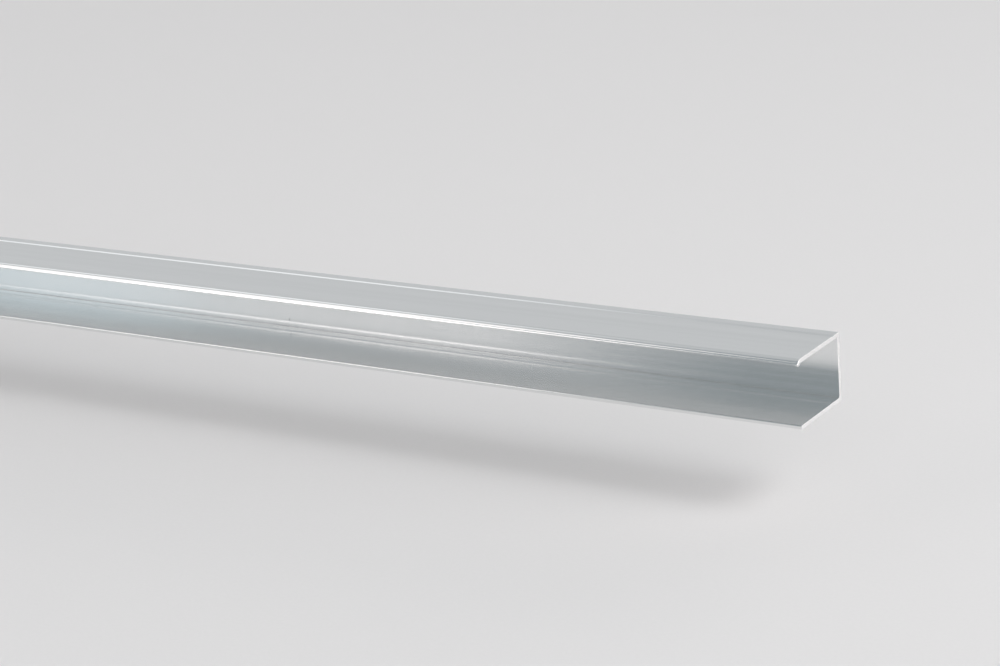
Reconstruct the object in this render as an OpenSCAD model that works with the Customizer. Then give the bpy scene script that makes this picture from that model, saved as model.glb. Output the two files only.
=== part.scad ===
// Thin-wall U channel, one extruded length of aluminium: a web and two flanges,
// the upper one bent down at its front into a lip that stands out a little past
// the lower one, a low rounded bead on the lower flange's inner face and a
// shallow groove along the upper flange.
// Millimetres. X runs along the length, -Y is the open side, +Z is up, and the
// lower flange's outer face lies at Z = 0.

/* [Profile] */
// Length the stock is cut to
length = 1000; // [200:1:6000]
// Height over both flanges
height = 20; // [15:0.1:40]
// Depth over all, from the lip's edge to the web's outer face
depth = 25.7; // [20:0.1:50]
// Wall thickness of web and flanges
wall = 1.2; // [1:0.05:2]

/* [Lip on the upper flange's front edge] */
// Outer radius of the bend that forms the lip
lip_bend_r = 2.3; // [2.2:0.05:4]
// Angle that the flange is bent down through, in degrees
lip_turn = 65; // [40:1:85]
// How far the lip's edge stands out past the lower flange
lip_reach = 1; // [0:0.1:3]

/* [Bead on the lower flange's inner face] */
// Distance from the web's inner face to the crest of the bead
bead_offset = 4.2; // [2.5:0.1:10]
// Width of the bead at its foot
bead_wide = 2.2; // [1.2:0.1:3]
// Height of the bead
bead_high = 0.05; // [0.05:0.05:0.6]

/* [Groove along the upper flange's outer face] */
// Distance from the web's outer face to the groove's centre
groove_offset = 3.7; // [2.5:0.1:8]
// Width of the groove at the face
groove_wide = 1.3; // [0.6:0.05:2]
// Depth of the groove
groove_deep = 0.3; // [0.1:0.05:0.5]

/* [Edges] */
// Radius of the lower flange's front edges
front_r = 0.35; // [0.1:0.05:0.4]
// Radius of the two outer corners at the web
corner_r = 0.2; // [0.1:0.05:0.6]
// Fillet radius of the two inner corners at the web
root_r = 0.15; // [0.1:0.05:0.6]

/* [Hidden] */
$fn = 48;
// Radius of the bead's round top
bead_r = (pow(bead_wide / 2, 2) + pow(bead_high, 2)) / (2 * bead_high);

// Waste left outside a rounded corner at the origin, body towards +X and +Y.
module corner_waste(r) {
    difference() {
        translate([-1, -1]) square(r + 1);
        translate([r, r]) circle(r);
    }
}

// Fillet in an inner corner at the origin, open space towards +X and +Y.
module fillet(r) {
    difference() {
        translate([-wall / 2, -wall / 2]) square(wall / 2 + r);
        translate([r, r]) circle(r);
    }
}

// Round-topped bead on a face at y = 0, its foot sunk as deep as the bead is high.
module bead() {
    intersection() {
        translate([0, bead_high - bead_r]) circle(bead_r);
        translate([-bead_r - 1, -bead_high]) square([2 * bead_r + 2, bead_r]);
    }
}

// Lip bent down about the origin, joining the flange at x = 0.
module lip() {
    under = lip_bend_r - wall;
    intersection() {
        difference() {
            circle(lip_bend_r);
            circle(under);
        }
        polygon([
            [0, 0], [0, under], [0.5, under], [0.5, 2 * lip_bend_r],
            [-2 * lip_bend_r, 2 * lip_bend_r],
            [-2 * lip_bend_r * sin(lip_turn), 2 * lip_bend_r * cos(lip_turn)]
        ]);
    }
}

// Cross-section with the lip's edge at x = 0 and its underside at y = 0.
module section() {
    inner = depth - wall;
    bend_x = lip_bend_r * sin(lip_turn);
    difference() {
        union() {
            difference() {
                translate([lip_reach, 0]) square([depth - lip_reach, height]);
                translate([lip_reach - 1, wall]) square([inner - lip_reach + 1, height]);
            }
            translate([bend_x, height - wall]) square([inner - bend_x + wall / 2, wall]);
            translate([bend_x, height - lip_bend_r]) lip();
            translate([inner - bead_offset, wall]) bead();
            translate([inner, wall]) mirror([1, 0]) fillet(root_r);
            translate([inner, height - wall]) rotate(180) fillet(root_r);
        }
        translate([depth, 0]) mirror([1, 0]) corner_waste(corner_r);
        translate([depth, height]) rotate(180) corner_waste(corner_r);
        translate([lip_reach, 0]) corner_waste(front_r);
        translate([lip_reach, wall]) mirror([0, 1]) corner_waste(front_r);
        translate([depth - groove_offset, height]) polygon([
            [-groove_wide / 2, 0], [-groove_wide / 2, 1], [groove_wide / 2, 1],
            [groove_wide / 2, 0], [0, -groove_deep]
        ]);
    }
}

module profile() {
    color("silver")
        translate([-length / 2, -depth / 2, 0])
            rotate([90, 0, 90])
                linear_extrude(length) section();
}

profile();
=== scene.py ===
"""Looks of the extruded aluminium U channel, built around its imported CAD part.

Lengths are in metres unless a name ends in _MM or a comment says millimetres. X runs along the channel, its open
side faces -Y, and the lower flange's outer face lies at Z = 0.
"""
import math

import bmesh
import bpy
from mathutils import Matrix, Vector, noise


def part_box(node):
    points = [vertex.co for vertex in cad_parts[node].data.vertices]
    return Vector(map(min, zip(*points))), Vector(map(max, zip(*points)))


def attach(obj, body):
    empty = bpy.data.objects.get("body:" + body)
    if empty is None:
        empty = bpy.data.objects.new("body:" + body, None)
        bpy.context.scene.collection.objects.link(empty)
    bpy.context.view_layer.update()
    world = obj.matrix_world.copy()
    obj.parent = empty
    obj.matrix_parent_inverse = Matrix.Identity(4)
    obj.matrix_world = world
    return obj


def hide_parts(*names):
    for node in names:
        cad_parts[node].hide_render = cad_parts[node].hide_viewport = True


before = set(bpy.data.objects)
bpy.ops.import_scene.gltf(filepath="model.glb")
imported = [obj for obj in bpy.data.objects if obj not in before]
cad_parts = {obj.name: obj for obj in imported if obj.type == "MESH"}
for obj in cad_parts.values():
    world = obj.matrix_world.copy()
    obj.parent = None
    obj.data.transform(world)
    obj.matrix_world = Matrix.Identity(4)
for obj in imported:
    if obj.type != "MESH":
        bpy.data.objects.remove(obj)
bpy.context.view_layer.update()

MM = 0.001
LOW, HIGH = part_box("profile")
LENGTH_MM, DEPTH_MM, HEIGHT_MM = ((HIGH - LOW) / MM)[:]

# Section, in millimetres, as in the part's source.
WALL = 1.2
LIP_BEND_R = 2.3
LIP_TURN = 65.0
LIP_REACH = 1.0
LIP_EDGE_R = 0.12
BEAD_OFFSET = 4.2
BEAD_WIDE = 2.2
BEAD_HIGH = 0.05
GROOVE_OFFSET = 3.7
GROOVE_WIDE = 1.3
GROOVE_DEEP = 0.3
FRONT_R = 0.35
CORNER_R = 0.2
ROOT_R = 0.15

# Fineness of the mesh.
OUTLINE_STEP_MM = 0.16
ARC_STEPS = 8
STATION_STEP_MM = 25.0
SHARP_ANGLE = math.radians(28)

# Marks of the die and the saw.
RIM_CHAMFER_MM = 0.07
DIE_LINE_MM = 0.007
SAW_TEAR_MM = 0.3
SAW_TOOTH_MM = 0.45

# The floor lies below the channel, whose shadow falls clear of it.
FLOOR_DROP = 0.028

# A small dark mark on the web's inner face, and how fast it fades per metre along X, Y and Z.
MARK_FADE = (3500, 1200, 1200)
MARK = (HIGH.x - 0.192, HIGH.y - WALL * MM, 0.0037)


# ---------------------------------------------------------------- section outline

def arc(y, z, r, start, end):
    """Points of an arc about (y, z), angles in degrees."""
    turns = [math.radians(start + (end - start) * i / ARC_STEPS) for i in range(ARC_STEPS + 1)]
    return [(y + r * math.cos(a), z + r * math.sin(a)) for a in turns]


def lip_corners():
    """The lip's outer face, its edge with two small radii, and its inner face."""
    turn = math.radians(LIP_TURN)
    y, z = LIP_BEND_R * math.sin(turn), HEIGHT_MM - LIP_BEND_R
    end = 90 + LIP_TURN
    corners = arc(y, z, LIP_BEND_R, 90, end - math.degrees(LIP_EDGE_R / LIP_BEND_R))
    for radius, turned in ((LIP_BEND_R - LIP_EDGE_R, 0), (LIP_BEND_R - WALL + LIP_EDGE_R, 90)):
        cy = y - radius * math.sin(turn) + LIP_EDGE_R * math.cos(turn)
        cz = z + radius * math.cos(turn) + LIP_EDGE_R * math.sin(turn)
        corners += arc(cy, cz, LIP_EDGE_R, end + turned, end + turned + 90)
    under = LIP_BEND_R - WALL
    return corners + arc(y, z, under, end - math.degrees(LIP_EDGE_R / under), 90)


def section_corners():
    """The section's outline, anticlockwise seen from +X, with Y = 0 at the lip's edge."""
    inner = DEPTH_MM - WALL
    under = HEIGHT_MM - WALL
    groove = DEPTH_MM - GROOVE_OFFSET
    bead_r = ((BEAD_WIDE / 2) ** 2 + BEAD_HIGH ** 2) / (2 * BEAD_HIGH)
    half_turn = math.degrees(math.asin(BEAD_WIDE / 2 / bead_r))
    top = HEIGHT_MM
    return (
        arc(LIP_REACH + FRONT_R, FRONT_R, FRONT_R, 180, 270)
        + arc(DEPTH_MM - CORNER_R, CORNER_R, CORNER_R, 270, 360)
        + arc(DEPTH_MM - CORNER_R, top - CORNER_R, CORNER_R, 0, 90)
        + [(groove + GROOVE_WIDE / 2, top), (groove, top - GROOVE_DEEP), (groove - GROOVE_WIDE / 2, top)]
        + lip_corners()
        + arc(inner - ROOT_R, under - ROOT_R, ROOT_R, 90, 0)
        + arc(inner - ROOT_R, WALL + ROOT_R, ROOT_R, 0, -90)
        + arc(inner - BEAD_OFFSET, WALL + BEAD_HIGH - bead_r, bead_r, 90 - half_turn, 90 + half_turn)
        + arc(LIP_REACH + FRONT_R, WALL - FRONT_R, FRONT_R, 90, 180)
    )


def section_outline():
    """The outline with its long stretches divided, as (y, z, distance along it)."""
    corners = section_corners()
    points, along = [], 0.0
    for (y0, z0), (y1, z1) in zip(corners, corners[1:] + corners[:1]):
        span = math.hypot(y1 - y0, z1 - z0)
        steps = max(1, round(span / OUTLINE_STEP_MM))
        for i in range(steps):
            t = i / steps
            points.append((y0 + (y1 - y0) * t, z0 + (z1 - z0) * t, along + span * t))
        along += span
    return points


def outward(points, i):
    """Unit normal of a closed outline at its i-th point, pointing out of the metal."""
    (y0, z0, _), (y1, z1, _) = points[i - 1], points[(i + 1) % len(points)]
    span = math.hypot(y1 - y0, z1 - z0)
    return (z1 - z0) / span, (y0 - y1) / span


def die_line(along):
    """Height in millimetres of the ridges drawn by the die, always below the true face."""
    broad = noise.noise(Vector((along / 3.1, 7.3, 0.0)))
    fine = noise.noise(Vector((along / 0.55, 1.7, 0.0)))
    return 0.006 * broad + 0.0012 * fine - DIE_LINE_MM


def saw_tear(along):
    """How far in millimetres the saw has torn a cut edge back from the end."""
    return RIM_CHAMFER_MM + SAW_TEAR_MM * max(0.0, noise.noise(Vector((along / SAW_TOOTH_MM, 4.1, 0.0))))


def add_burr(bm):
    """A sliver left by the saw on the lip's edge at the near end, 1.1 mm long."""
    end, front, top = LENGTH_MM / 2, -DEPTH_MM / 2, HEIGHT_MM
    corners = ((0.0, 0.1, -1.38), (0.0, 0.8, -1.7), (0.0, 0.35, -1.83), (-1.1, 0.25, -1.45))
    a, b, c, tip = [
        bm.verts.new(((end + x) * MM, (front + y) * MM, (top + z) * MM)) for x, y, z in corners
    ]
    for trio in ((a, c, b), (a, b, tip), (b, c, tip), (c, a, tip)):
        bm.faces.new(trio).material_index = 1


def profile_mesh():
    """The whole length as one closed mesh with two saw-cut ends, and the burr."""
    points = section_outline()
    normals = [outward(points, i) for i in range(len(points))]
    drawn = []
    for (y, z, along), (ny, nz) in zip(points, normals):
        lift = die_line(along)
        drawn.append((y + ny * lift, z + nz * lift))
    rim = [
        (y - ny * RIM_CHAMFER_MM, z - nz * RIM_CHAMFER_MM)
        for (y, z), (ny, nz) in zip(drawn, normals)
    ]

    half = LENGTH_MM / 2
    count = round((LENGTH_MM - 2 * RIM_CHAMFER_MM) / STATION_STEP_MM)
    inside = half - RIM_CHAMFER_MM
    tears = [saw_tear(along) for _, _, along in points]
    stations = [(-half, rim, 0), (-half, drawn, 1)]
    stations += [(-inside + 2 * inside * i / count, drawn, 0) for i in range(1, count)]
    stations += [(half, drawn, -1), (half, rim, 0)]

    bm = bmesh.new()
    uv = bm.loops.layers.uv.new("along")
    rings = [
        [
            bm.verts.new(((x + side * tear) * MM, (y - DEPTH_MM / 2) * MM, z * MM))
            for (y, z), tear in zip(ring, tears)
        ]
        for x, ring, side in stations
    ]
    size = len(points)
    lengths = [p[2] for p in points]
    total = lengths[-1] + OUTLINE_STEP_MM
    for (x0, *_), (x1, *_), a, b in zip(stations, stations[1:], rings, rings[1:]):
        for i in range(size):
            j = (i + 1) % size
            face = bm.faces.new((a[i], a[j], b[j], b[i]))
            face.smooth = True
            face.material_index = int(x0 == x1)
            u0, u1 = lengths[i], lengths[j] if j else total
            for loop, (u, v) in zip(face.loops, ((u0, x0), (u1, x0), (u1, x1), (u0, x1))):
                loop[uv].uv = (u * MM, v * MM)
    for ring, flip in ((rings[0], True), (rings[-1], False)):
        face = bm.faces.new(list(reversed(ring)) if flip else ring)
        face.material_index = 1
        for loop in face.loops:
            loop[uv].uv = (loop.vert.co.y, loop.vert.co.z)
    add_burr(bm)
    bm.normal_update()
    for edge in bm.edges:
        cut = len({face.material_index for face in edge.link_faces}) > 1
        edge.smooth = not cut and edge.calc_face_angle(0.0) < SHARP_ANGLE
    mesh = bpy.data.meshes.new("profile_surface")
    bm.to_mesh(mesh)
    bm.free()
    return mesh


# ---------------------------------------------------------------- materials

class Nodes:
    """Short calls for building one node tree."""

    def __init__(self, tree):
        self.tree = tree
        tree.nodes.clear()

    def add(self, kind, inputs=None, **settings):
        node = self.tree.nodes.new("ShaderNode" + kind)
        for name, value in settings.items():
            setattr(node, name, value)
        for name, value in (inputs or {}).items():
            socket = node.inputs[name]
            if isinstance(value, bpy.types.NodeSocket):
                self.tree.links.new(value, socket)
            else:
                socket.default_value = value
        return node

    def math(self, operation, a, b=0.0):
        return self.add("Math", {0: a, 1: b}, operation=operation).outputs[0]

    def stretched_noise(self, scale, detail, rough=0.5):
        """Noise on the object's own coordinates in metres, scaled by (x, y, z)."""
        place = self.add("TexCoord").outputs["Object"]
        mapped = self.add("Mapping", {"Vector": place, "Scale": scale}).outputs[0]
        return self.add(
            "TexNoise", {"Vector": mapped, "Scale": 1.0, "Detail": detail, "Roughness": rough}
        ).outputs["Fac"]

    def spread(self, value, low, high, to_low, to_high):
        return self.add(
            "MapRange",
            {"Value": value, "From Min": low, "From Max": high, "To Min": to_low, "To Max": to_high},
        ).outputs[0]


def new_material(name):
    material = bpy.data.materials.new(name)
    material.use_nodes = True
    return material, Nodes(material.node_tree)


def mill_finish():
    """Extruded aluminium: bright, with fine lines drawn along X."""
    material, n = new_material("mill_finish_aluminium")
    streaks = n.stretched_noise((1.5, 1500.0, 1500.0), 3.0, 0.6)
    broad = n.stretched_noise((2.0, 160.0, 160.0), 2.0)
    blotch = n.stretched_noise((30.0, 60.0, 60.0), 3.0)
    tone = n.math("ADD", n.spread(streaks, 0.3, 0.7, -0.02, 0.02), n.spread(broad, 0.3, 0.7, -0.015, 0.015))
    place = n.add("TexCoord").outputs["Object"]
    offset = n.add("VectorMath", {0: place, 1: MARK}, operation="SUBTRACT").outputs[0]
    scaled = n.add("VectorMath", {0: offset, 1: MARK_FADE}, operation="MULTIPLY").outputs[0]
    distance = n.add("VectorMath", {0: scaled}, operation="LENGTH").outputs["Value"]
    mark = n.spread(distance, 0.5, 1.0, 0.65, 1.0)
    channels = [n.math("MULTIPLY", n.math("ADD", tone, level), mark) for level in (0.85, 0.86, 0.86)]
    colour = n.add("CombineColor", dict(zip(("Red", "Green", "Blue"), channels))).outputs[0]
    rough = n.math("ADD", n.spread(streaks, 0.3, 0.7, 0.14, 0.17), n.spread(blotch, 0.3, 0.7, -0.01, 0.01))
    bump = n.add("Bump", {"Height": streaks, "Strength": 0.12, "Distance": 0.00002}).outputs[0]
    tangent = n.add("Tangent", direction_type="UV_MAP", uv_map="along").outputs[0]
    shader = n.add(
        "BsdfPrincipled",
        {
            "Base Color": colour,
            "Metallic": 1.0,
            "Roughness": rough,
            "Anisotropic": 0.6,
            "Normal": bump,
            "Tangent": tangent,
        },
    )
    n.add("OutputMaterial", {"Surface": shader.outputs[0]})
    return material


def saw_cut():
    """The ends: matt and pale, scored by the saw."""
    material, n = new_material("saw_cut_aluminium")
    place = n.add("TexCoord").outputs["Object"]
    turned = n.add("Mapping", {"Vector": place, "Rotation": (math.radians(24), 0.0, 0.0)}).outputs[0]
    scored = n.add("Mapping", {"Vector": turned, "Scale": (1.0, 250.0, 6000.0)}).outputs[0]
    marks = n.add("TexNoise", {"Vector": scored, "Scale": 1.0, "Detail": 2.0}).outputs["Fac"]
    tone = n.spread(marks, 0.3, 0.7, 0.80, 0.92)
    colour = n.add("CombineColor", {"Red": tone, "Green": tone, "Blue": tone}).outputs[0]
    rough = n.spread(marks, 0.3, 0.7, 0.45, 0.6)
    bump = n.add("Bump", {"Height": marks, "Strength": 0.3, "Distance": 0.00003}).outputs[0]
    shader = n.add(
        "BsdfPrincipled",
        {"Base Color": colour, "Metallic": 1.0, "Roughness": rough, "Normal": bump},
    )
    n.add("OutputMaterial", {"Surface": shader.outputs[0]})
    return material


def paper():
    """The floor: seamless white paper."""
    material, n = new_material("white_paper")
    grain = n.stretched_noise((900.0, 900.0, 900.0), 2.0)
    tone = n.spread(grain, 0.3, 0.7, 0.665, 0.675)
    colour = n.add("CombineColor", {"Red": tone, "Green": tone, "Blue": tone}).outputs[0]
    shader = n.add("BsdfPrincipled", {"Base Color": colour, "Roughness": 0.9, "Specular IOR Level": 0.1})
    n.add("OutputMaterial", {"Surface": shader.outputs[0]})
    return material


# ---------------------------------------------------------------- pieces and stage

def make_profile():
    mesh = profile_mesh()
    mesh.materials.append(mill_finish())
    mesh.materials.append(saw_cut())
    piece = bpy.data.objects.new("extruded_channel", mesh)
    bpy.context.scene.collection.objects.link(piece)
    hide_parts("profile")
    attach(piece, "root")
    return piece


def make_floor():
    side = 40.0
    mesh = bpy.data.meshes.new("floor")
    corners = [(-side, -side, 0), (side, -side, 0), (side, side, 0), (-side, side, 0)]
    mesh.from_pydata(corners, [], [(0, 1, 2, 3)])
    mesh.materials.append(paper())
    floor = bpy.data.objects.new("floor", mesh)
    floor.location.z = LOW.z - FLOOR_DROP
    bpy.context.scene.collection.objects.link(floor)


# The surroundings, on a sky seen from the channel. Azimuth 0 is -Y, the open side, and
# 90 is +X. Each panel has its azimuth and elevation, its half width and half height, the
# width of its soft edge, all in degrees, then its strength and its tint.
NEUTRAL = (1.0, 1.0, 1.0)
WARM = (1.0, 0.92, 0.9)
COOL = (0.85, 0.95, 1.0)
ROOM_STRENGTH = 0.35
GLOWS = [
    ("softbox", -42, 29, 7, 7, 2, 2.1, WARM),
    ("softbox_left", -53, 29, 5, 7, 2, 1.2, WARM),
    ("softbox_under", -50, 16, 8, 6, 2, 0.5, COOL),
    ("softbox_right", -36, 16, 6, 6, 2, 0.2, WARM),
    ("far_left", -65, 46, 17, 10, 4, 1.0, WARM),
    ("right_softbox", 20, 22, 20, 22, 6, 1.0, NEUTRAL),
    ("right_wall", 80, 24, 40, 24, 6, 2.8, WARM),
    ("back_wall", 178, 17, 22, 17, 6, 1.8, WARM),
    ("back_left", -138, 17, 18, 17, 6, 0.3, WARM),
    ("back_high", -140, 50, 60, 15, 6, 0.25, WARM),
    ("high_left", -114, 46, 12, 8, 6, 0.5, NEUTRAL),
]

# The key light: a disc, its size and its distance in metres, aimed at a point near the cut end.
KEY_ENERGY = 11.5
KEY_SIZE = 0.8
KEY_DISTANCE = 2.0
KEY_SIDE = (0.96, -0.10, 1.0)
KEY_AIM_FROM_END = 0.15

# The camera, from the lower flange's front edge at the near end, in metres and degrees.
CAMERA_OFFSET = (0.2863, -0.5566, 0.2359)
CAMERA_YAW = 34.447
CAMERA_PITCH = 17.963
CAMERA_ROLL = -4.867
CAMERA_LENS = 88.79


def make_surroundings():
    world = bpy.data.worlds.new("studio")
    bpy.context.scene.world = world
    world.use_nodes = True
    n = Nodes(world.node_tree)
    place = n.add("TexCoord").outputs["Generated"]
    parts = n.add("SeparateXYZ", {"Vector": place})
    azimuth = n.math("ARCTAN2", parts.outputs["X"], n.math("MULTIPLY", parts.outputs["Y"], -1.0))
    elevation = n.math("ARCSINE", parts.outputs["Z"])

    def inside(off_centre, half, edge):
        low, high = math.radians(half - edge / 2), math.radians(half + edge / 2)
        limits = {"Value": n.math("ABSOLUTE", off_centre), "From Min": high, "From Max": low}
        return n.add("MapRange", limits, interpolation_type="SMOOTHSTEP").outputs[0]

    total = n.add("VectorMath", {0: COOL, 3: ROOM_STRENGTH}, operation="SCALE", name="room").outputs[0]
    for name, turn, rise, half_width, half_height, edge, strength, tint in GLOWS:
        aside = n.math("SUBTRACT", azimuth, math.radians(turn))
        aside = n.add("Math", {0: aside, 1: math.pi, 2: -math.pi}, operation="WRAP").outputs[0]
        above = n.math("SUBTRACT", elevation, math.radians(rise))
        fade = n.math("MULTIPLY", inside(aside, half_width, edge), inside(above, half_height, edge))
        fade = n.math("MULTIPLY", fade, strength)
        glow = n.add("VectorMath", {0: tint, 3: fade}, operation="SCALE", name="glow_" + name).outputs[0]
        total = n.add("VectorMath", {0: total, 1: glow}, operation="ADD").outputs[0]
    shader = n.add("Background", {"Color": total, "Strength": 1.0})
    n.add("OutputWorld", {"Surface": shader.outputs[0]})


def make_key_light():
    lamp = bpy.data.lights.new("key", "AREA")
    lamp.shape = "DISK"
    lamp.size = KEY_SIZE
    lamp.energy = KEY_ENERGY
    key = bpy.data.objects.new("key", lamp)
    away = Vector(KEY_SIDE).normalized() * KEY_DISTANCE
    near_end = Vector((HIGH.x - KEY_AIM_FROM_END, 0, 0))
    key.location = near_end + away
    key.rotation_mode = "QUATERNION"
    key.rotation_quaternion = away.to_track_quat("Z", "Y")
    bpy.context.scene.collection.objects.link(key)


def make_camera():
    """At the right-hand end, looking along the open side and a little down."""
    data = bpy.data.cameras.new("camera")
    data.sensor_width = 36.0
    data.lens = CAMERA_LENS
    data.clip_start = 0.01
    data.clip_end = 200.0
    camera = bpy.data.objects.new("camera", data)
    front = LOW.y + LIP_REACH * MM
    place = Vector((HIGH.x, front, LOW.z)) + Vector(CAMERA_OFFSET)
    turn = (
        Matrix.Rotation(math.radians(CAMERA_YAW), 4, "Z")
        @ Matrix.Rotation(math.radians(90 - CAMERA_PITCH), 4, "X")
        @ Matrix.Rotation(math.radians(CAMERA_ROLL), 4, "Z")
    )
    camera.matrix_world = Matrix.Translation(place) @ turn
    bpy.context.scene.collection.objects.link(camera)
    bpy.context.scene.camera = camera


make_camera()
make_profile()
make_floor()
make_surroundings()
make_key_light()
bpy.context.scene.view_settings.view_transform = "Standard"
